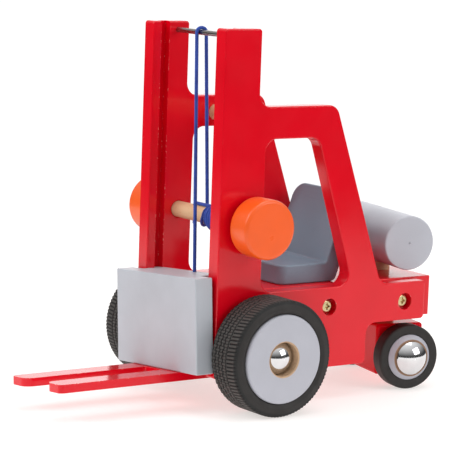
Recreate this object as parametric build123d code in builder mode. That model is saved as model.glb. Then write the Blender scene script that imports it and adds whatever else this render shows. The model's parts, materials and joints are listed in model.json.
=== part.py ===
from build123d import *
import os
from math import cos, radians, sin

# Toy forklift. Millimetres, Z up, Z = 0 on the floor. X = 0 is the middle plane of the body,
# and the truck drives toward -Y. Fore-and-aft places in this file are measured backward from
# the front face of the masts, which stands at MAST_Y.
MAST_Y = -43.75

# side boards
BOARD = 10.0  # thickness of every board
INNER = 33.5  # middle plane to a board's inner face
OUTER = INNER + BOARD
BOARD_FOOT = 20.2
BOARD_CORNERS = [1.5, 2, 2, 8, 8, 8, 1.5, 2.5, 7, 3]  # from the mast's foot, round by its top
MAST_TOP = 226.4
MAST_DEPTH = 26.0
ROOF_TOP = 180.7
ROOF_BACK = 83.3
PILLAR_FOOT = 122.8
DECK_EDGE = 69.1
BOARD_BACK = 158.2
NOTCH_TOP = 45.1
NOTCH_FRONT = 112.8
EASE = 0.8  # sanded edge of painted wood

# window in each board
WINDOW_FRONT = 31.5
WINDOW_FOOT = 69.8
WINDOW_TOP = 161.4
WINDOW_BACK_LOW = 100.2
WINDOW_BACK_HIGH = 70.2
WINDOW_CORNER = 8.0

# groove that guides the carriage
GROOVE_FRONT = 5.7
GROOVE_BACK = 11.6
GROOVE_DEPTH = 5.0

# chassis block
CHASSIS_FRONT = 16.0
CHASSIS_BACK = 170.3
CHASSIS_FOOT = NOTCH_TOP
DECK = 70.0

# screws through the boards into the chassis: distance back and height of each
SCREW_SPOTS = [(83.5, 57.5), (142.5, 56.8)]
SCREW_SINK_R = 5.25
SCREW_SINK = 5.0
SCREW_HEAD_R = 4.0
SCREW_HEAD = 2.5
SCREW_SHANK_R = 2.0
SCREW_LENGTH = 20.0
SCREW_ROUND = 1.2
CROSS_LONG = 4.2  # the cross recess in a screw head
CROSS_WIDE = 1.0
CROSS_DEEP = 1.3

# cross dowel under the roof, and the rod at the mast tops
DOWEL_R = 5.0
ROOF_DOWEL_Y = 47.5
ROOF_DOWEL_Z = 170.2
ROD_R = 1.6
ROD_Y = 17.8
ROD_Z = 221.1
BLIND = 5.0  # depth of a blind hole in a board
SNUG = 0.04  # radial gap of a glued or pressed pin
BORE_END = 0.2  # room beyond the end of a pin in its blind bore

# winch
WINCH_Y = 22.3
WINCH_Z = 110.7
WINCH_HOLE_R = 5.1
WINCH_HOLE_BEVEL = 0.6
WINCH_HALF = 58.0
KNOB_R = 17.8
KNOB_IN = 46.8
KNOB_OUT = 64.0
KNOB_EDGE = 2.2

# cord
CORD_R = 1.15
WIND_FOOT = -12.6  # one turn crosses from here to the pile
WIND_LEFT = 0.9  # the pile of turns
WIND_RIGHT = 19.1
WIND_R = 8.8
TIE_X = -15.8
TIE_HOLE_R = 1.3
TIE_TAIL = 1.6
LEAD_BEND = 1.4
STRAND_X = -11.2  # where the rear strand reaches the winch
STRAND_GAP = 0.3
STRAND_FOOT = 6.0  # it stops this high above the winch axis, where the winding passes it
LOOP_BACK_X = -7.2
LOOP_FRONT_X = -9.0
LOOP_GAP = 0.03
SPLIT_Z = 219.4  # below this the front strand shortens as the carriage rises
CORD_SUNK = 2.5  # how far the cord goes into the carriage

# front wheels
FRONT_Y = 29.5
FRONT_Z = 35.0
FRONT_TYRE_R = 35.0
FRONT_HUB_R = 26.6
FRONT_IN = 45.6
FRONT_OUT = 72.6
FRONT_AXLE_R = 2.5
FRONT_BOSS_R = 8.0
FRONT_BOSS_IN = 44.0
HUB_ROUND = 1.4
TYRE_INSET = 0.6  # how far the tyre stands in from each face of its hub
TYRE_ROUND = 2.0
TYRE_LIP = 1.2
RECESS_R = 10.2
RECESS_DEPTH = 8.0
RECESS_BEVEL = 0.7
FRONT_CAP_R = 9.7
FRONT_CAP_RIM = 1.8
FRONT_CAP_DOME = 5.4
CAP_LIFT = 0.4  # gap behind a cap, so that its wheel can turn
AXLE_SHORT = 3.0  # how far the front axle stops inside the hub's face
RUN = 0.08  # radial gap of a wheel or pivot that turns

# steering unit
PIVOT_Y = 157.9
STEER_REST = -11.4
BOGIE_HALF = 29.0
BOGIE_REACH = 16.2
BOGIE_FOOT = 7.2
BOGIE_TOP = 39.4
BOGIE_ROUND = 2.0
SPACER_R = 9.0
SPACER_PLAY = 0.1
PIN_FOOT = 26.0
PIN_IN_TANK = 2.0  # how far the pin passes the tank's axis
TANK_R = 17.1
TANK_HALF = 36.0
TANK_Z = 91.8
TANK_ROUND = 1.0
CENTRE_MARK_R = 0.7
CENTRE_MARK_DEPTH = 0.5
REAR_Z = 20.4
REAR_TYRE_R = 20.4
REAR_HUB_R = 14.3
REAR_LIP_R = 11.65
REAR_IN = 32.1
REAR_OUT = 42.4
REAR_LIP = 2.8
REAR_BOSS_R = 6.0
REAR_BOSS_GAP = 0.6
REAR_TYRE_ROUND = 1.5
REAR_TYRE_LIP = 0.8
REAR_AXLE_R = 2.0
REAR_AXLE_IN_CAP = 2.0
REAR_CAP_R = 10.4
REAR_CAP_RIM = 0.6
REAR_CAP_DOME = 4.6

# seat
SEAT_HALF = 27.3
SEAT_FRONT = 57.3
SEAT_TOP = 82.0
SEAT_CORNER = 92.0
SEAT_BACK_TOP = 125.5
SEAT_LEAN = 19.0
SEAT_BACK = 11.0
SEAT_CREASE = 2.0
SEAT_HEEL = 4.5
SEAT_FRONT_ROUND = 6.0
SEAT_SHOULDER = 10.0
SEAT_EASE = 1.2

# carriage
TILT = -4.58  # it hangs this much out of level in the play of its grooves
CARRIAGE_Z = 49.1
CARRIAGE_HIGH = 56.9
PLATE_HALF = 43.5
PLATE_FRONT = -14.0
PLATE_BACK = -1.9
CORE_HALF = 31.0
CORE_BACK = 12.3
TONGUE_HALF = 36.0
TONGUE_FRONT = 6.0
TONGUE_BACK = 11.3
CORD_HOLE_X = 7.3
CORD_HOLE_Y = 9.7
CORD_HOLE_R = 1.8
CORD_HOLE_DEPTH = 8.0

# fork
FORK = 5.0
FORK_HALF = 26.0
FORK_GAP = 18.0
FORK_TIP_RIGHT = -98.5  # the two prongs are not cut quite level
FORK_TIP_LEFT = -95.8
FORK_CROTCH = -16.0
FORK_OUTER_CORNER = 3.0
FORK_INNER_CORNER = 6.0
FORK_CROTCH_CORNER = 1.5
FORK_BACK_CORNER = 1.0
FORK_SCREW_R = 1.5
FORK_SCREW_LONG = 16.0
FORK_HEAD_R = 3.0
FORK_HEAD = 1.4
FORK_HEAD_SINK = 0.1
FORK_CROSS = 3.2  # the cross recess in a fork screw's head
FORK_SCREW_SPOTS = [(-13.0, 4.1), (13.0, 4.1)]

os.makedirs("parts", exist_ok=True)


def at(x, y, z, turn=(0, 0, 0)):
    """A place in the body, with y measured back from the mast fronts."""
    return Location((x, MAST_Y + y, z), turn)


def steered(x, y, z, turn=(0, 0, 0)):
    """A place in the steering unit: x along its axle, y back from its pivot."""
    return Location((0, MAST_Y + PIVOT_Y, 0), (0, 0, STEER_REST)) * Location((x, y, z), turn)


def hung(x, y, z, turn=(0, 0, 0)):
    """A place in the tilted carriage: x and z from its middle, y back from the mast fronts."""
    return Location((0, MAST_Y, CARRIAGE_Z), (0, TILT, 0)) * Location((x, y, z), turn)


ACROSS = (0, 90, 0)  # turns a cylinder's axis onto X


# ---------------------------------------------------------------- body

def side_board(side):
    """One side board: mast, roof bar, leaning pillar and lower body. side is +1 or -1."""
    outline = [
        (0, BOARD_FOOT), (0, MAST_TOP), (MAST_DEPTH, MAST_TOP), (MAST_DEPTH, ROOF_TOP),
        (ROOF_BACK, ROOF_TOP), (PILLAR_FOOT, DECK_EDGE), (BOARD_BACK, DECK_EDGE),
        (BOARD_BACK, NOTCH_TOP), (NOTCH_FRONT, NOTCH_TOP), (NOTCH_FRONT, BOARD_FOOT),
    ]
    window = [
        (WINDOW_FRONT, WINDOW_FOOT), (WINDOW_FRONT, WINDOW_TOP),
        (WINDOW_BACK_HIGH, WINDOW_TOP), (WINDOW_BACK_LOW, WINDOW_FOOT),
    ]
    with BuildPart() as board:
        with BuildSketch(Plane(origin=(side * INNER, MAST_Y, 0), x_dir=(0, 1, 0), z_dir=(1, 0, 0))):
            with BuildLine():
                FilletPolyline(*outline, radius=BOARD_CORNERS, close=True)
            make_face()
            with BuildLine():
                FilletPolyline(*window, radius=WINDOW_CORNER, close=True)
            make_face(mode=Mode.SUBTRACT)
        extrude(amount=side * BOARD)
        faces_in_x = board.faces().filter_by(Axis.X).sort_by(Axis.X)
        fillet(faces_in_x[0].edges() + faces_in_x[-1].edges(), radius=EASE)
        groove_y = (GROOVE_FRONT + GROOVE_BACK) / 2
        middle_z = (BOARD_FOOT + MAST_TOP) / 2
        with Locations(at(side * (INNER + GROOVE_DEPTH / 2), groove_y, middle_z)):
            Box(GROOVE_DEPTH, GROOVE_BACK - GROOVE_FRONT, MAST_TOP, mode=Mode.SUBTRACT)
        for y, z in SCREW_SPOTS:
            with Locations(at(side * OUTER, y, z, ACROSS)):
                Cylinder(SCREW_SINK_R, 2 * SCREW_SINK, mode=Mode.SUBTRACT)
                Cylinder(SCREW_SHANK_R + SNUG, 3 * BOARD, mode=Mode.SUBTRACT)
        with Locations(at(side * INNER, WINCH_Y, WINCH_Z, ACROSS)):
            Cylinder(WINCH_HOLE_R, 3 * BOARD, mode=Mode.SUBTRACT)
        mouths = board.edges().filter_by(GeomType.CIRCLE)
        chamfer([e for e in mouths if abs(e.radius - WINCH_HOLE_R) < 0.01], length=WINCH_HOLE_BEVEL)
        with Locations(at(side * INNER, FRONT_Y, FRONT_Z, ACROSS)):
            Cylinder(FRONT_AXLE_R + SNUG, 3 * BOARD, mode=Mode.SUBTRACT)
        with Locations(at(side * INNER, ROOF_DOWEL_Y, ROOF_DOWEL_Z, ACROSS)):
            Cylinder(DOWEL_R + SNUG, 2 * BLIND, mode=Mode.SUBTRACT)
        with Locations(at(side * INNER, ROD_Y, ROD_Z, ACROSS)):
            Cylinder(ROD_R + SNUG, 2 * BLIND, mode=Mode.SUBTRACT)
    return board


for side, name in [(1, "side_panel_left"), (-1, "side_panel_right")]:
    panel = side_board(side)
    panel.part.label = name
    export_step(panel.part, "parts/" + name + ".step")

with BuildPart() as chassis:
    length = CHASSIS_BACK - CHASSIS_FRONT
    with Locations(at(0, CHASSIS_FRONT + length / 2, CHASSIS_FOOT)):
        Box(2 * INNER, length, DECK - CHASSIS_FOOT, align=(Align.CENTER, Align.CENTER, Align.MIN))
    rear = chassis.faces().sort_by(Axis.Y)[-1]
    top = chassis.faces().sort_by(Axis.Z)[-1]
    fillet(rear.edges() + top.edges().filter_by(Axis.Y), radius=EASE)
    with Locations(at(0, PIVOT_Y, DECK)):
        Cylinder(DOWEL_R + RUN, 3 * (DECK - CHASSIS_FOOT), mode=Mode.SUBTRACT)
    for side in (1, -1):
        for y, z in SCREW_SPOTS:
            with Locations(at(side * INNER, y, z, ACROSS)):
                Cylinder(SCREW_SHANK_R + SNUG, 2 * (SCREW_LENGTH - BLIND + 1), mode=Mode.SUBTRACT)
chassis.part.label = "chassis_block"
export_step(chassis.part, "parts/chassis_block.step")

with BuildPart() as screws:
    head_foot = OUTER - SCREW_SINK
    for side in (1, -1):
        for y, z in SCREW_SPOTS:
            with Locations(at(side * (head_foot + SCREW_HEAD / 2), y, z, ACROSS)):
                Cylinder(SCREW_HEAD_R, SCREW_HEAD)
            with Locations(at(side * (head_foot - SCREW_LENGTH / 2), y, z, ACROSS)):
                Cylinder(SCREW_SHANK_R, SCREW_LENGTH)
    circles = screws.edges().filter_by(GeomType.CIRCLE)
    rims = [e for e in circles if e.radius > SCREW_SHANK_R + 1 and abs(e.center().X) > head_foot + 1]
    fillet(rims, radius=SCREW_ROUND)
    for side in (1, -1):
        for y, z in SCREW_SPOTS:
            with Locations(at(side * (head_foot + SCREW_HEAD), y, z)):
                Box(2 * CROSS_DEEP, CROSS_LONG, CROSS_WIDE, mode=Mode.SUBTRACT)
                Box(2 * CROSS_DEEP, CROSS_WIDE, CROSS_LONG, mode=Mode.SUBTRACT)
            with Locations(at(side * (head_foot + SCREW_HEAD - CROSS_DEEP / 2), y, z, (0, side * 90, 0))):
                Cone(CROSS_WIDE / 2, CROSS_LONG / 3, CROSS_DEEP, mode=Mode.SUBTRACT)
screws.part.label = "panel_screws"
export_step(screws.part, "parts/panel_screws.step")

with BuildPart() as roof_dowel:
    with Locations(at(0, ROOF_DOWEL_Y, ROOF_DOWEL_Z, ACROSS)):
        Cylinder(DOWEL_R, 2 * (INNER + BLIND))
roof_dowel.part.label = "roof_dowel"
export_step(roof_dowel.part, "parts/roof_dowel.step")

with BuildPart() as mast_rod:
    with Locations(at(0, ROD_Y, ROD_Z, ACROSS)):
        Cylinder(ROD_R, 2 * (INNER + BLIND))
mast_rod.part.label = "mast_rod"
export_step(mast_rod.part, "parts/mast_rod.step")

# The seat is one L of board: its back leans, so the profile follows the lean.
LEAN_Y = sin(radians(SEAT_LEAN))
LEAN_Z = cos(radians(SEAT_LEAN))
back_run = (SEAT_BACK_TOP - SEAT_TOP) / LEAN_Z
back_top = (SEAT_CORNER + back_run * LEAN_Y, SEAT_BACK_TOP)
back_rear = (back_top[0] + SEAT_BACK * LEAN_Z, back_top[1] - SEAT_BACK * LEAN_Y)
back_foot = (back_rear[0] - (back_rear[1] - DECK) * LEAN_Y / LEAN_Z, DECK)
with BuildPart() as seat:
    with BuildSketch(Plane(origin=(-SEAT_HALF, MAST_Y, 0), x_dir=(0, 1, 0), z_dir=(1, 0, 0))):
        with BuildLine():
            FilletPolyline(
                (SEAT_FRONT, DECK), (SEAT_FRONT, SEAT_TOP), (SEAT_CORNER, SEAT_TOP),
                back_top, back_rear, back_foot, radius=[0, 0, SEAT_CREASE, 0, 0, SEAT_HEEL], close=True,
            )
        make_face()
    extrude(amount=2 * SEAT_HALF)
    upright = seat.edges().filter_by(Axis.Z).sort_by(Axis.Y)[0:2]
    fillet(upright, radius=SEAT_FRONT_ROUND)
    shoulders = [e for e in seat.edges() if e.center().Z > back_rear[1] + 0.5 and abs(e.center().X) > 1]
    fillet(shoulders, radius=SEAT_SHOULDER)
    fillet([e for e in seat.edges() if e.center().Z > DECK + 0.1], radius=SEAT_EASE)
seat.part.label = "seat"
export_step(seat.part, "parts/seat.step")

with BuildPart() as front_axle:
    with Locations(at(0, FRONT_Y, FRONT_Z, ACROSS)):
        Cylinder(FRONT_AXLE_R, 2 * (FRONT_OUT - AXLE_SHORT))
front_axle.part.label = "front_axle"
export_step(front_axle.part, "parts/front_axle.step")


def domed_cap(place, radius, rim, dome, bore_r, bore_depth):
    """A push-on cap: a short round wall under a bulging top, with a blind hole for the axle."""
    sphere_r = (radius * radius + dome * dome) / (2 * dome)
    half_way = (radius / 2, rim + dome - sphere_r + (sphere_r ** 2 - radius ** 2 / 4) ** 0.5)
    with BuildPart() as cap:
        with BuildSketch(Plane(place)):
            with BuildLine():
                Polyline((0, rim + dome), (0, 0), (radius, 0), (radius, rim))
                ThreePointArc((radius, rim), half_way, (0, rim + dome))
            make_face()
        foot = Plane(place)
        revolve(axis=Axis(foot.origin, foot.y_dir))
        with Locations(place * Location((0, bore_depth / 2, 0), (90, 0, 0))):
            Cylinder(bore_r, bore_depth, mode=Mode.SUBTRACT)
    return cap


front_cap_foot = FRONT_OUT - RECESS_DEPTH + CAP_LIFT
for side, name in [(1, "front_cap_left"), (-1, "front_cap_right")]:
    place = at(side * front_cap_foot, FRONT_Y, FRONT_Z, (0, 0, -side * 90))
    bore_depth = FRONT_OUT - AXLE_SHORT - front_cap_foot + BORE_END
    cap = domed_cap(place, FRONT_CAP_R, FRONT_CAP_RIM, FRONT_CAP_DOME, FRONT_AXLE_R + SNUG, bore_depth)
    cap.part.label = name
    export_step(cap.part, "parts/" + name + ".step")

# ---------------------------------------------------------------- cord
# One cord: from the back of the winch up to the rod, over it and down to the carriage.
strand_back_y = WINCH_Y + DOWEL_R + CORD_R + STRAND_GAP
rod_reach = ROD_R + CORD_R + LOOP_GAP
loop_z = ROD_Z + rod_reach
landing = Vector(STRAND_X, MAST_Y + strand_back_y, WINCH_Z)
loop_back = Vector(LOOP_BACK_X, MAST_Y + ROD_Y + rod_reach, loop_z)
loop_front = Vector(LOOP_FRONT_X, MAST_Y + ROD_Y - rod_reach, loop_z)
strand_end = landing + (loop_back - landing) * (STRAND_FOOT / (loop_z - WINCH_Z))
hole_mouth = hung(CORD_HOLE_X, CORD_HOLE_Y, CARRIAGE_HIGH / 2).position
cord_end = Vector(hole_mouth.X, hole_mouth.Y, hole_mouth.Z - CORD_SUNK)
share = (loop_z - SPLIT_Z) / (loop_z - cord_end.Z)
split = loop_front + (cord_end - loop_front) * share

with BuildPart() as cord_over_rod:
    with BuildLine() as route:
        FilletPolyline(strand_end, loop_back, loop_front, split, radius=rod_reach)
    with BuildSketch(Plane(origin=strand_end, z_dir=route.line % 0)):
        Circle(CORD_R)
    sweep()
cord_over_rod.part.label = "cord_over_rod"
export_step(cord_over_rod.part, "parts/cord_over_rod.step")

with BuildPart() as front_strand:
    with BuildLine() as drop:
        Line(split, cord_end)
    with BuildSketch(Plane(origin=split, z_dir=cord_end - split)):
        Circle(CORD_R)
    sweep()
front_strand.part.label = "cord_front_strand"
export_step(front_strand.part, "parts/cord_front_strand.step")

# ---------------------------------------------------------------- winch

with BuildPart() as winch_dowel:
    with Locations(at(0, WINCH_Y, WINCH_Z, ACROSS)):
        Cylinder(DOWEL_R, 2 * WINCH_HALF)
    with Locations(at(TIE_X, WINCH_Y, WINCH_Z)):
        Cylinder(TIE_HOLE_R, 4 * DOWEL_R, mode=Mode.SUBTRACT)
winch_dowel.part.label = "winch_dowel"
export_step(winch_dowel.part, "parts/winch_dowel.step")

for side, name in [(1, "winch_knob_left"), (-1, "winch_knob_right")]:
    with BuildPart() as knob:
        with Locations(at(side * (KNOB_IN + KNOB_OUT) / 2, WINCH_Y, WINCH_Z, ACROSS)):
            Cylinder(KNOB_R, KNOB_OUT - KNOB_IN)
        fillet(knob.edges().filter_by(GeomType.CIRCLE), radius=KNOB_EDGE)
        with Locations(at(side * KNOB_IN, WINCH_Y, WINCH_Z, ACROSS)):
            Cylinder(DOWEL_R + SNUG, 2 * (WINCH_HALF - KNOB_IN + BORE_END), mode=Mode.SUBTRACT)
    knob.part.label = name
    export_step(knob.part, "parts/" + name + ".step")

# Several layers of cord in a pile, and one turn that crosses to it, taken as one solid of
# their outer shape.
with BuildPart() as winding:
    with BuildSketch(Plane(origin=(0, MAST_Y + WINCH_Y, WINCH_Z), x_dir=(1, 0, 0), z_dir=(0, 1, 0))):
        low = DOWEL_R + SNUG
        one_layer = low + 2 * CORD_R
        with BuildLine():
            Polyline(
                (WIND_LEFT, one_layer), (WIND_FOOT, one_layer), (WIND_FOOT, low),
                (WIND_RIGHT, low), (WIND_RIGHT, one_layer),
            )
            middle = ((WIND_LEFT + WIND_RIGHT) / 2, WIND_R)
            ThreePointArc((WIND_LEFT, one_layer), middle, (WIND_RIGHT, one_layer))
        make_face()
    revolve(axis=Axis((0, MAST_Y + WINCH_Y, WINCH_Z), (1, 0, 0)))
winding.part.label = "cord_winding"
export_step(winding.part, "parts/cord_winding.step")

# The cord's fixed end comes up through the cross hole and lies along the dowel's top.
lead_z = WINCH_Z + DOWEL_R + CORD_R + SNUG
with BuildPart() as cord_lead:
    with BuildLine() as lead_route:
        FilletPolyline(
            (TIE_X, MAST_Y + WINCH_Y, WINCH_Z - DOWEL_R - TIE_TAIL),
            (TIE_X, MAST_Y + WINCH_Y, lead_z),
            (WIND_FOOT + CORD_R / 2, MAST_Y + WINCH_Y, lead_z),
            radius=LEAD_BEND,
        )
    with BuildSketch(Plane(origin=lead_route.line @ 0, z_dir=(0, 0, 1))):
        Circle(CORD_R)
    sweep()
cord_lead.part.label = "cord_lead"
export_step(cord_lead.part, "parts/cord_lead.step")

# ---------------------------------------------------------------- front wheels

for side, word in [(1, "left"), (-1, "right")]:
    middle_x = side * (FRONT_IN + FRONT_OUT) / 2
    width = FRONT_OUT - FRONT_IN
    with BuildPart() as hub:
        with Locations(at(middle_x, FRONT_Y, FRONT_Z, ACROSS)):
            Cylinder(FRONT_HUB_R, width)
        fillet(hub.edges().filter_by(GeomType.CIRCLE), radius=HUB_ROUND)
        with Locations(at(side * (FRONT_BOSS_IN + FRONT_IN + 1) / 2, FRONT_Y, FRONT_Z, ACROSS)):
            Cylinder(FRONT_BOSS_R, FRONT_IN + 1 - FRONT_BOSS_IN)
        with Locations(at(side * FRONT_OUT, FRONT_Y, FRONT_Z, ACROSS)):
            Cylinder(RECESS_R, 2 * RECESS_DEPTH, mode=Mode.SUBTRACT)
        with Locations(at(middle_x, FRONT_Y, FRONT_Z, ACROSS)):
            Cylinder(FRONT_AXLE_R + RUN, 2 * width, mode=Mode.SUBTRACT)
        mouth = [
            e for e in hub.edges().filter_by(GeomType.CIRCLE)
            if abs(e.radius - RECESS_R) < 0.01 and abs(abs(e.center().X) - FRONT_OUT) < 0.01
        ]
        chamfer(mouth, length=RECESS_BEVEL)
    hub.part.label = "front_hub_" + word
    export_step(hub.part, "parts/front_hub_" + word + ".step")

    with BuildPart() as tyre:
        with Locations(at(middle_x, FRONT_Y, FRONT_Z, ACROSS)):
            Cylinder(FRONT_TYRE_R, width - 2 * TYRE_INSET)
            Cylinder(FRONT_HUB_R + SNUG, width, mode=Mode.SUBTRACT)
        rims = tyre.edges().filter_by(GeomType.CIRCLE)
        fillet([e for e in rims if e.radius > FRONT_HUB_R + 1], radius=TYRE_ROUND)
        fillet([e for e in rims if e.radius < FRONT_HUB_R + 1], radius=TYRE_LIP)
    tyre.part.label = "front_tyre_" + word
    export_step(tyre.part, "parts/front_tyre_" + word + ".step")

# ---------------------------------------------------------------- steering unit

with BuildPart() as bogie:
    with Locations(steered(0, 0, (BOGIE_FOOT + BOGIE_TOP) / 2)):
        Box(2 * BOGIE_HALF, 2 * BOGIE_REACH, BOGIE_TOP - BOGIE_FOOT)
    fillet(bogie.edges(), radius=BOGIE_ROUND)
    with Locations(steered(0, 0, REAR_Z, ACROSS)):
        Cylinder(REAR_AXLE_R + SNUG, 3 * BOGIE_HALF, mode=Mode.SUBTRACT)
    with Locations(steered(0, 0, PIN_FOOT)):
        Cylinder(
            DOWEL_R + SNUG, BOGIE_TOP, mode=Mode.SUBTRACT, align=(Align.CENTER, Align.CENTER, Align.MIN)
        )
bogie.part.label = "bogie_block"
export_step(bogie.part, "parts/bogie_block.step")

with BuildPart() as spacer:
    high = CHASSIS_FOOT - SPACER_PLAY - BOGIE_TOP
    with Locations(steered(0, 0, BOGIE_TOP + high / 2)):
        Cylinder(SPACER_R, high)
        Cylinder(DOWEL_R + SNUG, high, mode=Mode.SUBTRACT)
spacer.part.label = "steering_spacer"
export_step(spacer.part, "parts/steering_spacer.step")

pin_top = TANK_Z + PIN_IN_TANK
with BuildPart() as pin:
    with Locations(steered(0, 0, (PIN_FOOT + pin_top) / 2)):
        Cylinder(DOWEL_R, pin_top - PIN_FOOT)
pin.part.label = "steering_pin"
export_step(pin.part, "parts/steering_pin.step")

with BuildPart() as tank:
    with Locations(steered(0, 0, TANK_Z, ACROSS)):
        Cylinder(TANK_R, 2 * TANK_HALF)
    fillet(tank.edges().filter_by(GeomType.CIRCLE), radius=TANK_ROUND)
    for end in (1, -1):
        with Locations(steered(end * TANK_HALF, 0, TANK_Z, ACROSS)):
            Cylinder(CENTRE_MARK_R, 2 * CENTRE_MARK_DEPTH, mode=Mode.SUBTRACT)
    with Locations(steered(0, 0, pin_top + BORE_END)):
        Cylinder(
            DOWEL_R + SNUG, 2 * TANK_R, mode=Mode.SUBTRACT, align=(Align.CENTER, Align.CENTER, Align.MAX)
        )
tank.part.label = "tank"
export_step(tank.part, "parts/tank.step")

rear_cap_foot = REAR_OUT + REAR_LIP + CAP_LIFT
rear_axle_end = rear_cap_foot + REAR_AXLE_IN_CAP
with BuildPart() as rear_axle:
    with Locations(steered(0, 0, REAR_Z, ACROSS)):
        Cylinder(REAR_AXLE_R, 2 * rear_axle_end)
rear_axle.part.label = "rear_axle"
export_step(rear_axle.part, "parts/rear_axle.step")

for side, word in [(1, "left"), (-1, "right")]:
    width = REAR_OUT - REAR_IN
    middle_x = side * (REAR_IN + REAR_OUT) / 2
    with BuildPart() as hub:
        with Locations(steered(middle_x, 0, REAR_Z, ACROSS)):
            Cylinder(REAR_HUB_R, width)
        with Locations(steered(side * (REAR_OUT + REAR_LIP / 2), 0, REAR_Z, (0, side * 90, 0))):
            Cone(REAR_HUB_R, REAR_LIP_R, REAR_LIP)
        with Locations(steered(side * (BOGIE_HALF + REAR_BOSS_GAP + REAR_IN) / 2, 0, REAR_Z, ACROSS)):
            Cylinder(REAR_BOSS_R, REAR_IN - BOGIE_HALF - REAR_BOSS_GAP)
        with Locations(steered(middle_x, 0, REAR_Z, ACROSS)):
            Cylinder(REAR_AXLE_R + RUN, 3 * width, mode=Mode.SUBTRACT)
    hub.part.label = "rear_hub_" + word
    export_step(hub.part, "parts/rear_hub_" + word + ".step")

    with BuildPart() as tyre:
        with Locations(steered(middle_x, 0, REAR_Z, ACROSS)):
            Cylinder(REAR_TYRE_R, width)
            Cylinder(REAR_HUB_R + SNUG, width, mode=Mode.SUBTRACT)
        rims = tyre.edges().filter_by(GeomType.CIRCLE)
        fillet([e for e in rims if e.radius > REAR_HUB_R + 1], radius=REAR_TYRE_ROUND)
        fillet([e for e in rims if e.radius < REAR_HUB_R + 1], radius=REAR_TYRE_LIP)
    tyre.part.label = "rear_tyre_" + word
    export_step(tyre.part, "parts/rear_tyre_" + word + ".step")

    place = steered(side * rear_cap_foot, 0, REAR_Z, (0, 0, -side * 90))
    bore_depth = REAR_AXLE_IN_CAP + BORE_END
    cap = domed_cap(place, REAR_CAP_R, REAR_CAP_RIM, REAR_CAP_DOME, REAR_AXLE_R + SNUG, bore_depth)
    cap.part.label = "rear_cap_" + word
    export_step(cap.part, "parts/rear_cap_" + word + ".step")

# ---------------------------------------------------------------- carriage

with BuildPart() as carriage:
    with Locations(hung(0, (PLATE_FRONT + PLATE_BACK) / 2, 0)):
        Box(2 * PLATE_HALF, PLATE_BACK - PLATE_FRONT, CARRIAGE_HIGH)
    fillet(carriage.edges(), radius=EASE)
    core_front = PLATE_BACK - 1.0
    with Locations(hung(0, (core_front + CORE_BACK) / 2, 0)):
        Box(2 * CORE_HALF, CORE_BACK - core_front, CARRIAGE_HIGH)
    with Locations(hung(0, (TONGUE_FRONT + TONGUE_BACK) / 2, 0)):
        Box(2 * TONGUE_HALF, TONGUE_BACK - TONGUE_FRONT, CARRIAGE_HIGH)
    with Locations(hung(CORD_HOLE_X, CORD_HOLE_Y, CARRIAGE_HIGH / 2)):
        Cylinder(CORD_HOLE_R, 2 * CORD_HOLE_DEPTH, mode=Mode.SUBTRACT)
    for x, y in FORK_SCREW_SPOTS:
        with Locations(hung(x, y, -CARRIAGE_HIGH / 2)):
            Cylinder(FORK_SCREW_R + SNUG, 2 * FORK_SCREW_LONG, mode=Mode.SUBTRACT)
carriage.part.label = "carriage_block"
export_step(carriage.part, "parts/carriage_block.step")

with BuildPart() as fork:
    with BuildSketch(Plane(hung(0, 0, -CARRIAGE_HIGH / 2 - FORK))):
        with BuildLine():
            FilletPolyline(
                (-FORK_HALF, CORE_BACK), (-FORK_HALF, FORK_TIP_RIGHT), (-FORK_GAP / 2, FORK_TIP_RIGHT),
                (-FORK_GAP / 2, FORK_CROTCH), (FORK_GAP / 2, FORK_CROTCH), (FORK_GAP / 2, FORK_TIP_LEFT),
                (FORK_HALF, FORK_TIP_LEFT), (FORK_HALF, CORE_BACK),
                radius=[
                    FORK_BACK_CORNER, FORK_OUTER_CORNER, FORK_INNER_CORNER, FORK_CROTCH_CORNER,
                    FORK_CROTCH_CORNER, FORK_INNER_CORNER, FORK_OUTER_CORNER, FORK_BACK_CORNER,
                ],
                close=True,
            )
        make_face()
    extrude(amount=FORK)
    for x, y in FORK_SCREW_SPOTS:
        with Locations(hung(x, y, -CARRIAGE_HIGH / 2 - FORK)):
            Cylinder(FORK_SCREW_R + SNUG, 3 * FORK, mode=Mode.SUBTRACT)
            Cylinder(FORK_HEAD_R + FORK_HEAD_SINK, 2 * (FORK_HEAD + FORK_HEAD_SINK), mode=Mode.SUBTRACT)
fork.part.label = "fork_plate"
export_step(fork.part, "parts/fork_plate.step")

with BuildPart() as fork_screws:
    for x, y in FORK_SCREW_SPOTS:
        with Locations(hung(x, y, -CARRIAGE_HIGH / 2 - FORK + FORK_HEAD_SINK)):
            Cylinder(FORK_HEAD_R, FORK_HEAD, align=(Align.CENTER, Align.CENTER, Align.MIN))
            Cylinder(FORK_SCREW_R, FORK_SCREW_LONG, align=(Align.CENTER, Align.CENTER, Align.MIN))
        with Locations(hung(x, y, -CARRIAGE_HIGH / 2 - FORK + FORK_HEAD_SINK)):
            Box(FORK_CROSS, FORK_CROSS / 4, FORK_HEAD, mode=Mode.SUBTRACT)
            Box(FORK_CROSS / 4, FORK_CROSS, FORK_HEAD, mode=Mode.SUBTRACT)
fork_screws.part.label = "fork_screws"
export_step(fork_screws.part, "parts/fork_screws.step")
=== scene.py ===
import json
import math

import bpy
import numpy as np
from mathutils import Matrix, Vector


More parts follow.
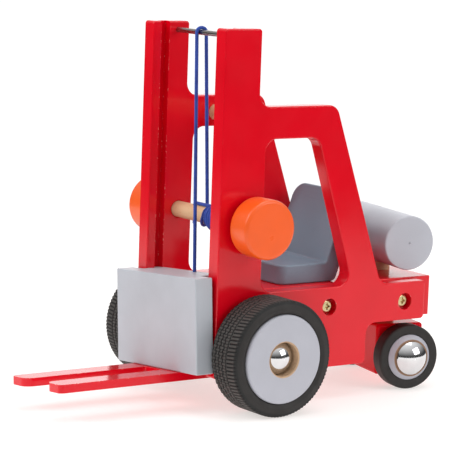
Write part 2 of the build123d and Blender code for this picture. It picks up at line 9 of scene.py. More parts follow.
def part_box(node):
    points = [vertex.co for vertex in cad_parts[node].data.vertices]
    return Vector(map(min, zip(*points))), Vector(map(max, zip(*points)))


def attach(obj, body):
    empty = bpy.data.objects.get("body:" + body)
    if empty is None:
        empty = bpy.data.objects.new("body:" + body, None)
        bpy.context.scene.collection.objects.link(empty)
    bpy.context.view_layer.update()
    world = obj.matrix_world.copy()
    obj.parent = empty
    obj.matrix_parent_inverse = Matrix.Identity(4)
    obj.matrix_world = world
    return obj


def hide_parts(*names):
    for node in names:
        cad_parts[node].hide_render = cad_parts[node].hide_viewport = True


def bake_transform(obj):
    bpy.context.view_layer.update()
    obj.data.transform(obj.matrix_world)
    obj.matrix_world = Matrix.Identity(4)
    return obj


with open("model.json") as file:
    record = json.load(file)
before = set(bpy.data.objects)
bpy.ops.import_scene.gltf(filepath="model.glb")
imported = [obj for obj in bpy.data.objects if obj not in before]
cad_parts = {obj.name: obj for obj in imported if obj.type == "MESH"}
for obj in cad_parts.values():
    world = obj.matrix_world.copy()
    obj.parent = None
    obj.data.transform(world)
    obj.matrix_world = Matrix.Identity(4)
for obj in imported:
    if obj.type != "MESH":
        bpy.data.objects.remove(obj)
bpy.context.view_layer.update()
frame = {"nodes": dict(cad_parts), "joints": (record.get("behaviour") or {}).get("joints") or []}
nodes = frame["nodes"]
joints = {joint["name"]: joint for joint in frame["joints"]}

FULL_TURN = 2 * math.pi
QUARTER_TURN = math.pi / 2
ALONG_X, ALONG_Y, ALONG_Z = 0, 1, 2


# ------------------------------------------------------------------ shader helpers

# Socket places of Blender's colour mix node, whose names repeat.
MIX_FACTOR, MIX_A, MIX_B, MIX_RESULT = 0, 6, 7, 2


class Shader:
    """A material with one Principled shader, and short ways to add nodes to it."""

    def __init__(self, name, color, roughness, metallic=0.0):
        self.mat = bpy.data.materials.new(name)
        self.mat.use_nodes = True
        self.mat.diffuse_color = (*color, 1)
        self.tree = self.mat.node_tree
        self.tree.nodes.clear()
        out = self.add("ShaderNodeOutputMaterial")
        self.bsdf = self.add("ShaderNodeBsdfPrincipled")
        self.link(self.bsdf.outputs[0], out.inputs[0])
        self.set("Base Color", (*color, 1))
        self.set("Roughness", roughness)
        self.set("Metallic", metallic)
        self.coords = self.add("ShaderNodeTexCoord").outputs["Object"]

    def add(self, kind, **props):
        node = self.tree.nodes.new(kind)
        for key, value in props.items():
            setattr(node, key, value)
        return node

    def link(self, a, b):
        self.tree.links.new(a, b)

    def set(self, socket, value):
        self.bsdf.inputs[socket].default_value = value

    def mapped(self, scale):
        """The surface point, stretched by its own scale on each axis."""
        mapping = self.add("ShaderNodeMapping")
        mapping.inputs["Scale"].default_value = scale
        self.link(self.coords, mapping.inputs["Vector"])
        return mapping.outputs[0]

    def noise(self, scale, detail=3.0, rough=0.5, vector=None, distortion=0.0):
        """Noise with scale features to the metre."""
        noise = self.add("ShaderNodeTexNoise")
        noise.inputs["Scale"].default_value = scale
        noise.inputs["Detail"].default_value = detail
        noise.inputs["Roughness"].default_value = rough
        noise.inputs["Distortion"].default_value = distortion
        self.link(vector if vector is not None else self.coords, noise.inputs["Vector"])
        return noise.outputs["Fac"]

    def math(self, operation, a, b):
        node = self.add("ShaderNodeMath", operation=operation)
        for socket, value in zip(node.inputs, (a, b)):
            if isinstance(value, (int, float)):
                socket.default_value = value
            else:
                self.link(value, socket)
        return node.outputs[0]

    def ramp(self, value, low, high, at_low, at_high):
        """Goes straight from at_low to at_high while value goes from low to high."""
        node = self.add("ShaderNodeMapRange")
        ends = {"From Min": low, "From Max": high, "To Min": at_low, "To Max": at_high}
        for socket, number in ends.items():
            node.inputs[socket].default_value = number
        self.link(value, node.inputs["Value"])
        return node.outputs[0]

    def spread(self, noise):
        """A noise's middle values pulled apart to fill 0 to 1."""
        return self.ramp(noise, 0.3, 0.7, 0, 1)

    def mix(self, factor, a, b):
        """Colour a where factor is 0 and b where it is 1."""
        node = self.add("ShaderNodeMix", data_type="RGBA")
        self.link(factor, node.inputs[MIX_FACTOR])
        for place, color in ((MIX_A, a), (MIX_B, b)):
            if isinstance(color, tuple):
                node.inputs[place].default_value = (*color, 1)
            else:
                self.link(color, node.inputs[place])
        return node.outputs[MIX_RESULT]

    def color(self, socket):
        self.link(socket, self.bsdf.inputs["Base Color"])

    def rough(self, socket):
        self.link(socket, self.bsdf.inputs["Roughness"])

    def rough_from(self, noise, at_low, at_high):
        """Roughness that wanders between two values with a noise."""
        self.rough(self.ramp(noise, 0.2, 0.8, at_low, at_high))

    def bump(self, height, distance, strength):
        node = self.add("ShaderNodeBump")
        node.inputs["Strength"].default_value = strength
        node.inputs["Distance"].default_value = distance
        self.link(height, node.inputs["Height"])
        self.link(node.outputs[0], self.bsdf.inputs["Normal"])

    def from_axis(self, point, axis):
        """Distance of the surface point from a line through point along axis."""
        offset = self.add("ShaderNodeVectorMath", operation="SUBTRACT")
        self.link(self.coords, offset.inputs[0])
        offset.inputs[1].default_value = point
        cross = self.add("ShaderNodeVectorMath", operation="CROSS_PRODUCT")
        self.link(offset.outputs[0], cross.inputs[0])
        cross.inputs[1].default_value = axis
        length = self.add("ShaderNodeVectorMath", operation="LENGTH")
        self.link(cross.outputs[0], length.inputs[0])
        return length.outputs["Value"]

    def edge(self, radius):
        """1 on edges sharper than radius, 0 on flats, by how far the edge's normal leans."""
        flat, sharp = 0.97, 0.80
        bevel = self.add("ShaderNodeBevel", samples=4)
        bevel.inputs["Radius"].default_value = radius
        geometry = self.add("ShaderNodeNewGeometry")
        dot = self.add("ShaderNodeVectorMath", operation="DOT_PRODUCT")
        self.link(bevel.outputs[0], dot.inputs[0])
        self.link(geometry.outputs["Normal"], dot.inputs[1])
        return self.ramp(dot.outputs["Value"], flat, sharp, 0.0, 1.0)

    def chips(self, radius, speck, low, high, most):
        """Up to most, in patches of a speckle on edges sharper than radius."""
        return self.math("MULTIPLY", self.edge(radius), self.ramp(speck, low, high, 0, most))


def stretched(s, along, across_scale, along_scale, **options):
    """Noise drawn out along one axis."""
    scale = [across_scale] * 3
    scale[along] = along_scale
    return s.noise(1.0, vector=s.mapped(tuple(scale)), **options)


def wood_height(s, along, pitch):
    """Fine grain lines that run along one axis."""
    return stretched(s, along, pitch, pitch * 0.03, detail=4, rough=0.6)


def times(color, factor):
    return tuple(part * factor for part in color)


# ------------------------------------------------------------------ materials

RED = (0.66, 0.001, 0.010)
RED_DEEP = (0.71, 0.0005, 0.010)
RED_BRIGHT = (0.79, 0.001, 0.013)
RED_GRAIN = (0.58, 0.0, 0.007)
RED_CHIPPED = (0.90, 0.45, 0.38)
CARRIAGE_GREY = (0.480, 0.512, 0.560)
TANK_GREY = (0.480, 0.495, 0.550)
HUB_GREY = (0.462, 0.470, 0.527)
SLATE = (0.190, 0.262, 0.335)
ORANGE = (0.93, 0.115, 0.010)
WORN_TO_WOOD = (0.80, 0.70, 0.58)
BEECH = (0.7, 0.47, 0.27)
BEECH_LIGHT = (0.74, 0.50, 0.29)
BEECH_DARK = (0.56, 0.33, 0.16)
FRONT_HUB_WOOD = (0.66, 0.44, 0.27)
# Much darker than the front hubs' wood: painted shade in the rear hubs' recess round the cap.
REAR_HUB_WOOD_SHADED = (0.33, 0.19, 0.11)
RUBBER = (0.022, 0.020, 0.019)
RUBBER_CLEAN = (0.0145, 0.0120, 0.0110)
RUBBER_DUSTY = (0.038, 0.032, 0.029)
# A lighter grey for the very top of the tread.
RUBBER_TREAD_TOP = (0.075, 0.068, 0.062)
# Near black, painted as shade in the grooves of the front tyres' tread.
GROOVE_SHADE = (0.003, 0.003, 0.003)
CHROME = (0.74, 0.74, 0.75)
STEEL = (0.38, 0.36, 0.34)
YELLOW_ZINC = (0.66, 0.55, 0.30)
CORD = (0.012, 0.04, 0.27)
CORD_DEEP = (0.010, 0.045, 0.30)
CORD_BRIGHT = (0.018, 0.075, 0.44)
CORD_FIBRE = (0.05, 0.12, 0.50)


def lacquer(name, along, shine=0.42):
    """Glossy red lacquer on board, with the grain showing faintly and small chips on its edges."""
    s = Shader(name, RED, 0.3)
    grain = wood_height(s, along, pitch=700)
    tone = s.mix(s.spread(s.noise(24, detail=2)), RED_DEEP, RED_BRIGHT)
    tone = s.mix(s.ramp(grain, 0.62, 0.74, 0, 0.22), tone, RED_GRAIN)
    chips = s.chips(0.0010, s.noise(520, detail=4, rough=0.75), 0.57, 0.63, most=1)
    s.color(s.mix(chips, tone, RED_CHIPPED))
    s.rough_from(s.noise(60), 0.12, 0.21)
    s.set("Specular IOR Level", shine)
    s.bump(grain, distance=0.00005, strength=0.35)
    return s.mat


def satin(name, color, along, rough=0.42, grain_strength=0.5):
    """Satin paint on wood."""
    s = Shader(name, color, rough)
    grain = wood_height(s, along, pitch=800)
    light = tuple(min(1, part) for part in times(color, 1.05))
    tone = s.mix(s.spread(s.noise(35)), times(color, 0.95), light)
    tone = s.mix(s.ramp(grain, 0.30, 0.42, 0.10 * grain_strength, 0.0), tone, times(color, 0.6))
    chips = s.chips(0.0008, s.noise(500, detail=4, rough=0.7), 0.60, 0.68, most=0.8)
    s.color(s.mix(chips, tone, WORN_TO_WOOD))
    s.rough_from(s.noise(90), rough - 0.05, rough + 0.07)
    s.bump(grain, distance=0.00008, strength=0.35 * grain_strength + 0.1)
    return s.mat


def bare_wood(s, along, light, dark):
    """Colour and height of bare beech with its short dark flecks."""
    flow = stretched(s, along, 120, 9, distortion=0.6)
    flecks = stretched(s, along, 1500, 260, detail=2)
    pores = wood_height(s, along, pitch=1400)
    between = tuple((a + b) / 2 for a, b in zip(light, dark))
    tone = s.mix(s.spread(flow), light, between)
    return s.mix(s.ramp(flecks, 0.62, 0.70, 0, 0.5), tone, dark), pores


def beech(name, along):
    """Bare beech, rougher in the hollows of its grain."""
    s = Shader(name, BEECH, 0.55)
    tone, pores = bare_wood(s, along, BEECH_LIGHT, BEECH_DARK)
    s.color(tone)
    s.rough_from(pores, 0.62, 0.46)
    s.bump(pores, distance=0.0001, strength=0.4)
    return s.mat


def hub_paint(name, point, axis, wood_r, wood):
    """Grey paint farther than wood_r from the wheel's axis, and bare wood nearer. For the rear hubs, the
    wood's tone is darkened as painted shade in the recess round the cap.
    """
    fringe = 0.0001
    s = Shader(name, HUB_GREY, 0.4)
    ragged = s.math("ADD", s.from_axis(point, axis), s.ramp(s.noise(600, detail=2), 0, 1, -fringe, fringe))
    inside = s.ramp(ragged, wood_r + fringe, wood_r - fringe, 0, 1)
    tone, pores = bare_wood(s, ALONG_X, wood, times(wood, 0.55))
    grain = wood_height(s, ALONG_Z, pitch=800)
    paint_tone = s.mix(s.spread(s.noise(40)), times(HUB_GREY, 0.96), times(HUB_GREY, 1.04))
    s.color(s.mix(inside, paint_tone, tone))
    s.rough(s.ramp(inside, 0, 1, 0.38, 0.6))
    height = s.math("ADD", s.math("MULTIPLY", grain, 0.4), s.math("MULTIPLY", pores, inside))
    s.bump(height, distance=0.00008, strength=0.35)
    return s.mat


def rubber(name, point=None, axis=None, tread_r=0.0):
    """Matt black rubber with grey dust. On a tread, painted shade turns the grooves near black, and the
    very top is mixed towards a lighter grey.
    """
    s = Shader(name, RUBBER, 0.6)
    dust = s.ramp(s.noise(140, detail=5, rough=0.7), 0.5, 0.8, 0, 0.35)
    tone = s.mix(dust, RUBBER_CLEAN, RUBBER_DUSTY)
    if point is not None:
        away = s.from_axis(point, axis)
        top = s.ramp(away, tread_r - 0.0010, tread_r - 0.0001, 0, 1)
        wall = s.ramp(away, tread_r - 0.0026, tread_r - 0.0020, 1, 0)
        # The very top of the tread is mixed towards a lighter grey.
        tread_top_lighter = s.ramp(away, tread_r - 0.0003, tread_r - 0.00005, 0, 0.6)
        tone = s.mix(tread_top_lighter, tone, RUBBER_TREAD_TOP)
        # Painted shade: between the tread's top and its wall, in the grooves, the rubber is coloured near
        # black.
        tone = s.mix(s.math("MAXIMUM", top, wall), GROOVE_SHADE, tone)
    s.color(tone)
    s.rough_from(s.noise(200), 0.50, 0.70)
    s.bump(s.noise(2200), distance=0.00005, strength=0.4)
    return s.mat


def metal(name, color, rough, scratch=0.0):
    """Metal with fine marks along X."""
    s = Shader(name, color, rough, 1.0)
    marks = stretched(s, ALONG_X, 2600, 900)
    s.color(s.mix(s.spread(s.noise(160)), times(color, 0.93), color))
    s.rough_from(marks, rough - 0.03, rough + 0.05)
    s.bump(marks, distance=0.00003, strength=0.08 + scratch)
    return s.mat


def cord_fibre(name):
    """Soft blue fibre, lighter where single fibres stand up."""
    s = Shader(name, CORD, 0.75)
    fibre = s.noise(2600, rough=0.6)
    tone = s.mix(s.spread(s.noise(250)), CORD_DEEP, CORD_BRIGHT)
    s.color(s.mix(s.ramp(fibre, 0.45, 0.75, 0, 0.5), tone, CORD_FIBRE))
    s.set("Sheen Weight", 0.25)
    s.set("Sheen Roughness", 0.4)
    s.bump(fibre, distance=0.00006, strength=0.6)
    return s.mat


WHEEL_AXIS = (1, 0, 0)
FRONT_BARE_R = 0.01095
REAR_BARE_R = 0.0117
front_point = Vector(joints["front_left_spin"]["pos_m"])
rear_point = Vector(joints["rear_left_spin"]["pos_m"])
rear_axis = Vector(joints["rear_left_spin"]["axis"]).normalized()

steel = metal("bright_steel", STEEL, 0.24, scratch=0.1)
zinc = metal("yellow_zinc", YELLOW_ZINC, 0.27, scratch=0.15)
chrome = metal("chrome", CHROME, 0.09)
tread_rubber = rubber("tread_rubber", front_point, WHEEL_AXIS, tread_r=front_point.z)
blue_cord = cord_fibre("blue_cord")

PAINTED = (
    (lacquer("red_lacquer_up", ALONG_Z), ("side_panel_left", "side_panel_right")),
    (lacquer("red_lacquer_back", ALONG_Y), ("chassis_block", "fork_plate")),
    # A duller copy of the red lacquer for the bogie, as painted shade under the chassis.
    (lacquer("red_lacquer_low_shaded", ALONG_X, shine=0.12), ("bogie_block",)),
    (satin("grey_paint_up", CARRIAGE_GREY, ALONG_Z), ("carriage_block",)),
    (satin("grey_paint_tank", TANK_GREY, ALONG_X), ("tank",)),
    (satin("slate_paint", SLATE, ALONG_X, grain_strength=1.6), ("seat",)),
    (
        satin("orange_paint", ORANGE, ALONG_X, rough=0.3, grain_strength=0.25),
        ("winch_knob_left", "winch_knob_right"),
    ),
    (beech("beech_across", ALONG_X), ("roof_dowel", "winch_dowel")),
    (beech("beech_up", ALONG_Z), ("steering_pin", "steering_spacer")),
    (steel, ("mast_rod", "front_axle", "rear_axle")),
    (zinc, ("panel_screws", "fork_screws")),
    (chrome, ("front_cap_left", "front_cap_right", "rear_cap_left", "rear_cap_right")),
    (rubber("tyre_rubber"), ("rear_tyre_left", "rear_tyre_right")),
    (
        hub_paint("front_hub_paint", front_point, WHEEL_AXIS, FRONT_BARE_R, FRONT_HUB_WOOD),
        ("front_hub_left", "front_hub_right"),
    ),
    (
        # The rear hubs' wood tone is darkened as painted shade in the recess.
        hub_paint("rear_hub_paint_shaded_wood", rear_point, rear_axis, REAR_BARE_R, REAR_HUB_WOOD_SHADED),
        ("rear_hub_left", "rear_hub_right"),
    ),
)
for material, names in PAINTED:
    for name in names:
        slots = nodes[name].data.materials
        slots.clear()
        slots.append(material)


# ------------------------------------------------------------------ mesh helpers

def make_mesh(name, verts, faces, material, body, slot, *replaced):
    """A smooth mesh on a body, or on none yet, that stands in for the CAD nodes in replaced."""
    mesh = bpy.data.meshes.new(name)
    mesh.from_pydata([tuple(v) for v in verts], [], [tuple(f) for f in faces])
    mesh.validate()
    mesh.polygons.foreach_set("use_smooth", [True] * len(mesh.polygons))
    mesh.materials.append(material)
    obj = bpy.data.objects.new(name, mesh)
    bpy.context.collection.objects.link(obj)
    if body:
        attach(obj, body)
    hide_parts(*replaced)
    return obj


def ring_faces(rings, around, closed_rings=False):
    """Quads between successive rings of vertices, and from the last ring to the first if closed."""
    i = np.arange(rings if closed_rings else rings - 1)[:, None]
    j = np.arange(around)[None, :]
    next_i = (i + 1) % rings
    next_j = (j + 1) % around
    corners = (i * around + j, i * around + next_j, next_i * around + next_j, next_i * around + j)
    return np.stack(corners, axis=-1).reshape(-1, 4).tolist()


def smooth_step(value, low, high):
    """0 below low, 1 above high, and smooth between."""
    t = np.clip((value - low) / (high - low), 0, 1)
    return t * t * (3 - 2 * t)


def dent(distance, full, none):
    """1 nearer than full, 0 farther than none, and smooth between."""
    return 1 - smooth_step(distance, full, none)


# ------------------------------------------------------------------ front tyres

# Lengths are in metres. Places across the tyre are measured from its inner face, and a FADE is
# two depths below the tread's top, between which a pattern fades in.
BORE_R = 0.02664
RIM_IN = 0.0016
RIM_STEP = 0.0004
WALL_IN = 0.0009
WALL_BULGE = 0.00072
CORNER_R = 0.0018
CORNER_FLAT = 0.9
WALL_POINTS, CORNER_POINTS, TREAD_POINTS = 10, 8, 84
TYRE_POINTS = 1056

ZIGZAGS = 60
GROOVE_PLACES = (0.0022, 0.0055, 0.0090, 0.0126, 0.0164)
GROOVE_SWINGS = (0.0010, 0.0010, 0.0010, 0.0010, 0.0004)
GROOVE_DEPTH = 0.0016
GROOVE_FLOOR, GROOVE_RIM = 0.00036, 0.00062
TREAD_FADE = (0.0016, 0.0006)
NOTCH_DEPTH = 0.0005
NOTCH_FLOOR, NOTCH_RIM = 0.07, 0.16
RIBS_START, RIBS_END = (0.0029, 0.0033), (0.0157, 0.0161)
CUTS = 96
CUT_DEPTH = 0.0008
CUT_START, CUT_SPAN, CUT_SLANT = 0.0135, 0.0077, 0.35
CUT_FLOOR, CUT_RIM = 0.12, 0.24
SHOULDER_START = (0.0171, 0.0175)
SHOULDER_FADE = (0.0012, 0.0004)
WALL_DEPTH, WALL_FOOT = 0.0031, 0.0005
RIDGE_DEPTH, RIDGE_WIDTH, RIDGE_HEIGHT = 0.0052, 0.00035, 0.00022


def tyre_section(width, outer_r):
    """Closed outline (x, r): inner wall and corner, tread, outer corner and wall, bore."""
    wall_low, wall_high = BORE_R + RIM_STEP, outer_r - CORNER_R
    flank = []
    for k in range(WALL_POINTS):
        t = k / (WALL_POINTS - 1)
        flank.append((WALL_IN - WALL_BULGE * math.sin(math.pi * t), wall_low + t * (wall_high - wall_low)))
    for k in range(1, CORNER_POINTS + 1):
        a = k / CORNER_POINTS * QUARTER_TURN
        x = WALL_IN + CORNER_R * CORNER_FLAT * (1 - math.cos(a))
        flank.append((x, wall_high + CORNER_R * math.sin(a)))
    tread_in = flank[-1][0]
    tread_width = width - 2 * tread_in
    tread = [(tread_in + tread_width * k / TREAD_POINTS, outer_r) for k in range(1, TREAD_POINTS)]
    far_flank = [(width - x, r) for x, r in reversed(flank)]
    bore = [(width - RIM_IN, BORE_R), (RIM_IN, BORE_R)]
    return np.array(flank + tread + far_flank + bore)


def tread_depth(x, r, angle, outer_r):
    """Depth of the zigzag grooves, the small notches in the ribs and the shoulder's slanted cuts."""

    def below_top(fade):
        return smooth_step(r, outer_r - fade[0], outer_r - fade[1])

    zig = np.abs(((angle * ZIGZAGS / FULL_TURN) % 1) * 2 - 1)
    depth = np.zeros_like(r)
    for k, (place, swing) in enumerate(zip(GROOVE_PLACES, GROOVE_SWINGS)):
        line = place + ((zig if k % 2 else 1 - zig) - 0.5) * swing
        depth = np.maximum(depth, GROOVE_DEPTH * dent(np.abs(x - line), GROOVE_FLOOR, GROOVE_RIM))
    notch = dent(np.abs(((angle * ZIGZAGS * 2 / FULL_TURN) % 1) - 0.5), NOTCH_FLOOR, NOTCH_RIM)
    ribs = smooth_step(x, *RIBS_START) * dent(x, *RIBS_END)
    depth = np.maximum(depth, NOTCH_DEPTH * notch * ribs) * below_top(TREAD_FADE)
    phase = (angle * CUTS / FULL_TURN + CUT_SLANT * (x - CUT_START) / CUT_SPAN) % 1
    cut = dent(np.abs(phase - 0.5), CUT_FLOOR, CUT_RIM)
    shoulder = smooth_step(x, *SHOULDER_START) * below_top(SHOULDER_FADE)
    return np.maximum(depth, CUT_DEPTH * cut * shoulder)


def front_tyre(side, word):
    """A treaded tyre with a fine moulded ridge round each wall."""
    low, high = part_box("front_tyre_" + word)
    mid_y, mid_z = (low.y + high.y) / 2, (low.z + high.z) / 2
    outer_r = (high.z - low.z) / 2
    inner_x, outer_x = sorted((abs(low.x), abs(high.x)))
    width = outer_x - inner_x
    section = tyre_section(width, outer_r)
    x, full_r = section[:, :1], section[:, 1:]
    angle = np.arange(TYRE_POINTS)[None, :] / TYRE_POINTS * FULL_TURN
    r = full_r * np.ones((1, TYRE_POINTS))
    r = r - tread_depth(x, r, angle, outer_r)
    on_wall = (r < outer_r - WALL_DEPTH) & (r > BORE_R + WALL_FOOT)
    ridge = np.exp(-(((full_r - (outer_r - RIDGE_DEPTH)) / RIDGE_WIDTH) ** 2)) * RIDGE_HEIGHT * on_wall
    across = inner_x + (x + np.where(x > width / 2, 1, -1) * ridge)
    verts = np.stack([side * across, mid_y + r * np.cos(angle), mid_z + r * np.sin(angle)], axis=-1)
    faces = ring_faces(len(section), TYRE_POINTS, closed_rings=True)
    if side < 0:
        faces = [face[::-1] for face in faces]
    return make_mesh(
        "tyre_front_" + word, verts.reshape(-1, 3), faces, tread_rubber,
        "front_wheel_" + word, "tyre_rubber", "front_tyre_" + word,
    )


for side, word in ((1, "left"), (-1, "right")):
    front_tyre(side, word)


# ------------------------------------------------------------------ cord helpers

def resample(points, step):
    """Points at even steps along a route, and how far along it each one is."""
    points = np.array(points, float)
    gaps = np.linalg.norm(np.diff(points, axis=0), axis=1)
    run = np.concatenate([[0], np.cumsum(gaps)])
    count = max(4, int(round(run[-1] / step)) + 1)
    at = np.linspace(0, run[-1], count)
    return np.stack([np.interp(at, run, points[:, k]) for k in range(3)], axis=1), at


def ring_frames(path):
    """Two directions across the path at each point, carried along it without twisting."""
    tangent = np.gradient(path, axis=0)
    tangent /= np.linalg.norm(tangent, axis=1)[:, None]
    side = np.zeros_like(path)
    askew = (0.31, 0.77, 0.55)  # any direction that the cord doesn't start along
    start = np.cross(tangent[0], askew)
    side[0] = start / np.linalg.norm(start)
    for k in range(1, len(path)):
        v = side[k - 1] - tangent[k] * (side[k - 1] @ tangent[k])
        side[k] = v / np.linalg.norm(v)
    return side, np.cross(tangent, side)


def braid(points, radius, step=0.00022, around=28, strands=6, lay=0.0062):
    """Rings of a braided cord: strands that wind both ways and pass over and under each other."""
    # The radius between strands, and the height of the strand beneath, as parts of the whole.
    valley, beneath = 0.80, 0.45
    path, run = resample(points, step)
    side, other = ring_frames(path)
    theta = np.arange(around) / around * FULL_TURN
    turn = theta[None, :] / FULL_TURN * strands
    wind = run[:, None] / lay * strands
    u, v = turn + wind, turn - wind
    u_over = (np.floor(u) + np.floor(v)) % 2 < 0.5
    hu = 1 - (2 * (u % 1) - 1) ** 2
    hv = 1 - (2 * (v % 1) - 1) ** 2
    height = np.where(u_over, np.maximum(hu, hv * beneath), np.maximum(hv, hu * beneath))
    r = radius * (valley + (1 - valley) * height)
    cosine, sine = np.cos(theta)[None, :, None], np.sin(theta)[None, :, None]
    outward = cosine * side[:, None, :] + sine * other[:, None, :]
    return path[:, None, :] + r[..., None] * outward


def tube(name, rings, body, *replaced):
    """A closed mesh of rings with a fan of triangles over each end."""
    count, around = rings.shape[:2]
    verts = rings.reshape(-1, 3)
    faces = ring_faces(count, around)
    ends = [verts[:around].mean(axis=0), verts[-around:].mean(axis=0)]
    first = len(verts)
    last = (count - 1) * around
    for j in range(around):
        k = (j + 1) % around
        faces.append((j, first, k))
        faces.append((last + k, first + 1, last + j))
    return make_mesh(name, np.concatenate([verts, ends]), faces, blue_cord, body, "cord", *replaced)


# ------------------------------------------------------------------ cord

winch = Vector(joints["winch_turn"]["pos_m"])
CORD_R = 0.00112

# The strands: from the back of the dowel up to the rod, half a turn over it, and down into the carriage.
DRUM_X = -0.0113
DRUM_BACK = 0.0063
ROD_BACK_X, ROD_FRONT_X = -0.0072, -0.0090
CORD_FROM_ROD = 0.00118
ROD_POINTS = 40


def lifting_cord():
    """Two tubes, parted just past halfway: one stays with the body, and the other is put on no body, with
    its place baked into its mesh.
    """
    rod_low, rod_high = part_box("mast_rod")
    rod = (rod_low + rod_high) / 2
    low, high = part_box("cord_front_strand")
    reach = (rod_high.z - rod_low.z) / 2 + CORD_FROM_ROD
    drum = Vector((DRUM_X, winch.y + DRUM_BACK, winch.z))
    back = Vector((ROD_BACK_X, rod.y + reach, rod.z))
    front = Vector((ROD_FRONT_X, rod.y - reach, rod.z))
    foot = Vector((high.x - CORD_R, low.y + CORD_R, low.z))
    middle, half = (back + front) / 2, (back - front) / 2
    over = [
        middle + half * math.cos(t) + Vector((0, 0, reach * math.sin(t)))
        for t in np.linspace(0, math.pi, ROD_POINTS)
    ]
    rings = braid([drum, back] + over[1:] + [foot], CORD_R)
    part = len(rings) // 2 + 1
    tube("cord_over", rings[:part + 1], "body", "cord_over_rod")
    strand = tube("cord_drop", rings[part:], None, "cord_front_strand")
    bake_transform(strand)


# The winding: half a turn crosses under the dowel, then a layer goes out and one comes back over
# it. It is laid by hand, so its pitch is uneven.
WOUND_R = 0.00103
TURN_STEPS = 48
CROSSING_SPAN, CROSSING_POINTS = 0.0135, 40
FIRST_R, CROSSING_DROP = 0.00625, 0.00015
FIRST_TURNS, FIRST_PITCH = 7.9, 0.00209
CLIMB_STEPS, CLIMB_BACK, CLIMB_R = 24, 0.0009, 0.0017
SECOND_TURNS, SECOND_PITCH = 4.7, 0.00215
SECOND_SAG, SAG_RHYTHM = 0.0001, 0.37
TUCK_STEPS, TUCK_BACK, TUCK_R = 16, 0.0014, 0.0015
LAYER_DRAWS = 20
PITCH_SPREAD = 0.00008
SECOND_SPREAD = 3  # the second layer is this many times as uneven


def winding():
    """The turns of cord on the dowel."""
    path = [
        (DRUM_X + CROSSING_SPAN * t, FIRST_R - CROSSING_DROP * t, t * math.pi)
        for t in np.linspace(0, 1, CROSSING_POINTS)
    ]
    x, r, angle = path[-1]
    wander = np.random.default_rng(7).normal(0, PITCH_SPREAD, 2 * LAYER_DRAWS)
    first, second = wander[:LAYER_DRAWS], wander[LAYER_DRAWS:] * SECOND_SPREAD

    def carry(steps, along, raised):
        """Carry the cord round, along(k) farther at each step and raised(k) above the first layer."""
        nonlocal x, angle
        for k in range(steps):
            angle += FULL_TURN / TURN_STEPS
            x += along(k)
            path.append((x, r + raised(k), angle))

    carry(
        int(TURN_STEPS * FIRST_TURNS),
        lambda k: (FIRST_PITCH + first[k // TURN_STEPS]) / TURN_STEPS,
        lambda k: 0,
    )
    carry(
        CLIMB_STEPS,
        lambda k: -CLIMB_BACK / CLIMB_STEPS,
        lambda k: CLIMB_R * (k + 1) / CLIMB_STEPS,
    )
    carry(
        int(TURN_STEPS * SECOND_TURNS),
        lambda k: -(SECOND_PITCH + second[k // TURN_STEPS]) / TURN_STEPS,
        lambda k: CLIMB_R - SECOND_SAG * math.sin(angle * SAG_RHYTHM) ** 2,
    )
    carry(
        TUCK_STEPS,
        lambda k: -TUCK_BACK / TUCK_STEPS,
        lambda k: CLIMB_R - TUCK_R * (k + 1) / TUCK_STEPS,
    )
    turns = [(x, winch.y + r * math.cos(a), winch.z - r * math.sin(a)) for x, r, a in path]
    rings = braid(turns, WOUND_R, step=0.0004, around=16, strands=4, lay=0.0050)
    tube("cord_turns", rings, "winch", "cord_winding")


# The cord's fixed end: up through the hole in the dowel, bent over, and along the dowel's top.
HOLE_X = -0.0158
TAIL_BELOW, TAIL_ABOVE = 0.0066, 0.00615
TAIL_BEND, BEND_POINTS = 0.0013, 10
TAIL_END_X = 0.0010


def tail():
    """The cord's fixed end."""
    top_z = winch.z + TAIL_ABOVE
    points = [(HOLE_X, winch.y, winch.z - TAIL_BELOW), (HOLE_X, winch.y, top_z - TAIL_BEND)]
    for k in range(1, BEND_POINTS + 1):
        a = k / BEND_POINTS * QUARTER_TURN
        x = HOLE_X + TAIL_BEND * (1 - math.cos(a))
        points.append((x, winch.y, top_z - TAIL_BEND + TAIL_BEND * math.sin(a)))
    points.append((TAIL_END_X, winch.y, top_z))
    rings = braid(points, CORD_R, step=0.00025, around=20, strands=5)
    tube("cord_tail", rings, "winch", "cord_lead")


lifting_cord()
winding()
tail()


# ------------------------------------------------------------------ stage, light and camera

FLOOR_HALF = 0.60
FLOOR_Z = -0.0002
WHITE = (1, 1, 1)
SKY_TINT = (1.0, 0.99, 0.98)
SKY_SEEN, SKY_SOFT = 1.05, 0.52
MIRRORED_HEIGHTS = (0.10, 0.85)
MIRRORED_STRENGTHS = (0.06, 0.95)


def floor():
    """A pale floor that gives off part of its own light, so that it stays near white."""
    pale = Shader("pale_floor", (0.50, 0.51, 0.52), 0.8)
    pale.bump(pale.noise(300, detail=2), distance=0.00002, strength=0.1)
    pale.set("Emission Color", (1.0, 0.955, 0.92, 1))
    pale.set("Emission Strength", 0.63)
    pale.set("Specular IOR Level", 0.1)
    corners = [(x * FLOOR_HALF, y * FLOOR_HALF, FLOOR_Z) for x, y in ((-1, -1), (1, -1), (1, 1), (-1, 1))]
    mesh = bpy.data.meshes.new("floor")
    mesh.from_pydata(corners, [], [(0, 1, 2, 3)])
    mesh.materials.append(pale.mat)
    obj = bpy.data.objects.new("floor", mesh)
    bpy.context.collection.objects.link(obj)


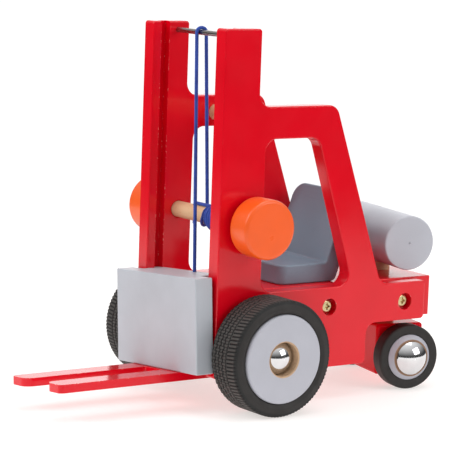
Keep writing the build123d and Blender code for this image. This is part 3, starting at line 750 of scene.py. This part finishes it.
def studio():
    """White to the camera, soft to matt surfaces, and dim near the horizon where glossy ones mirror it."""
    world = bpy.data.worlds.new("studio")
    bpy.context.scene.world = world
    world.use_nodes = True
    tree = world.node_tree
    tree.nodes.clear()
    rays = tree.nodes.new("ShaderNodeLightPath")

    def background(strength, color):
        node = tree.nodes.new("ShaderNodeBackground")
        node.inputs["Color"].default_value = (*color, 1)
        node.inputs["Strength"].default_value = strength
        return node

    def choose(ray, no, yes):
        node = tree.nodes.new("ShaderNodeMixShader")
        tree.links.new(rays.outputs[ray], node.inputs[0])
        tree.links.new(no.outputs[0], node.inputs[1])
        tree.links.new(yes.outputs[0], node.inputs[2])
        return node

    height = tree.nodes.new("ShaderNodeSeparateXYZ")
    tree.links.new(tree.nodes.new("ShaderNodeTexCoord").outputs["Generated"], height.inputs[0])
    brighter = tree.nodes.new("ShaderNodeMapRange")
    for word, limits in (("From", MIRRORED_HEIGHTS), ("To", MIRRORED_STRENGTHS)):
        brighter.inputs[word + " Min"].default_value, brighter.inputs[word + " Max"].default_value = limits
    tree.links.new(height.outputs["Z"], brighter.inputs["Value"])
    mirrored = background(SKY_SOFT, WHITE)
    tree.links.new(brighter.outputs[0], mirrored.inputs["Strength"])
    soft = choose("Is Glossy Ray", background(SKY_SOFT, SKY_TINT), mirrored)
    seen = choose("Is Camera Ray", soft, background(SKY_SEEN, WHITE))
    out = tree.nodes.new("ShaderNodeOutputWorld")
    tree.links.new(seen.outputs[0], out.inputs[0])


def softbox(name, place, aim, size, power):
    """A rectangular light that the camera doesn't see."""
    data = bpy.data.lights.new(name, "AREA")
    data.shape = "RECTANGLE"
    data.size, data.size_y = size
    data.energy = power
    obj = bpy.data.objects.new(name, data)
    bpy.context.collection.objects.link(obj)
    obj.location = place
    obj.rotation_mode = "QUATERNION"
    obj.rotation_quaternion = (Vector(aim) - Vector(place)).to_track_quat("-Z", "Y")
    obj.visible_camera = False


# Where the camera stands, with y measured back from the mast fronts, and how it is turned, in radians.
MAST_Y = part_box("side_panel_left")[0].y
CAMERA_X, CAMERA_BACK, CAMERA_Z = 1.0879, -0.7227, 0.2927
CAMERA_YAW, CAMERA_PITCH, CAMERA_ROLL = 0.962919, 0.141019, 0.035387
CAMERA_LENS, CAMERA_SENSOR = 176.0, 36.0


def camera():
    """The camera, from ahead of the truck's left side and a little above."""
    data = bpy.data.cameras.new("camera")
    obj = bpy.data.objects.new("camera", data)
    bpy.context.collection.objects.link(obj)
    data.sensor_width = CAMERA_SENSOR
    data.lens = CAMERA_LENS
    data.clip_start, data.clip_end = 0.05, 60.0
    level = math.cos(CAMERA_PITCH)
    look = Vector((-math.sin(CAMERA_YAW) * level, math.cos(CAMERA_YAW) * level, -math.sin(CAMERA_PITCH)))
    right = look.cross(Vector((0, 0, 1))).normalized()
    up = right.cross(look)
    rolled_right = right * math.cos(CAMERA_ROLL) + up * math.sin(CAMERA_ROLL)
    rolled_up = -right * math.sin(CAMERA_ROLL) + up * math.cos(CAMERA_ROLL)
    turn = Matrix((rolled_right, rolled_up, -look)).transposed()
    obj.matrix_world = Matrix.Translation((CAMERA_X, CAMERA_BACK + MAST_Y, CAMERA_Z)) @ turn.to_4x4()
    bpy.context.scene.camera = obj


floor()
studio()
softbox("key", (-0.55, -1.5, 1.25), (0, 0, 0.08), (0.9, 0.9), 15)
softbox("fill", (1.35, 0.85, 0.75), (0, 0, 0.08), (1.0, 0.8), 7.6)
softbox("top", (0.1, 0.2, 1.8), (0, 0, 0.05), (1.4, 1.4), 12)
softbox("behind", (-1.7, 1.2, 0.55), (0, 0, 0.1), (2.4, 1.1), 11)
camera()
bpy.context.scene.view_settings.view_transform = "Standard"
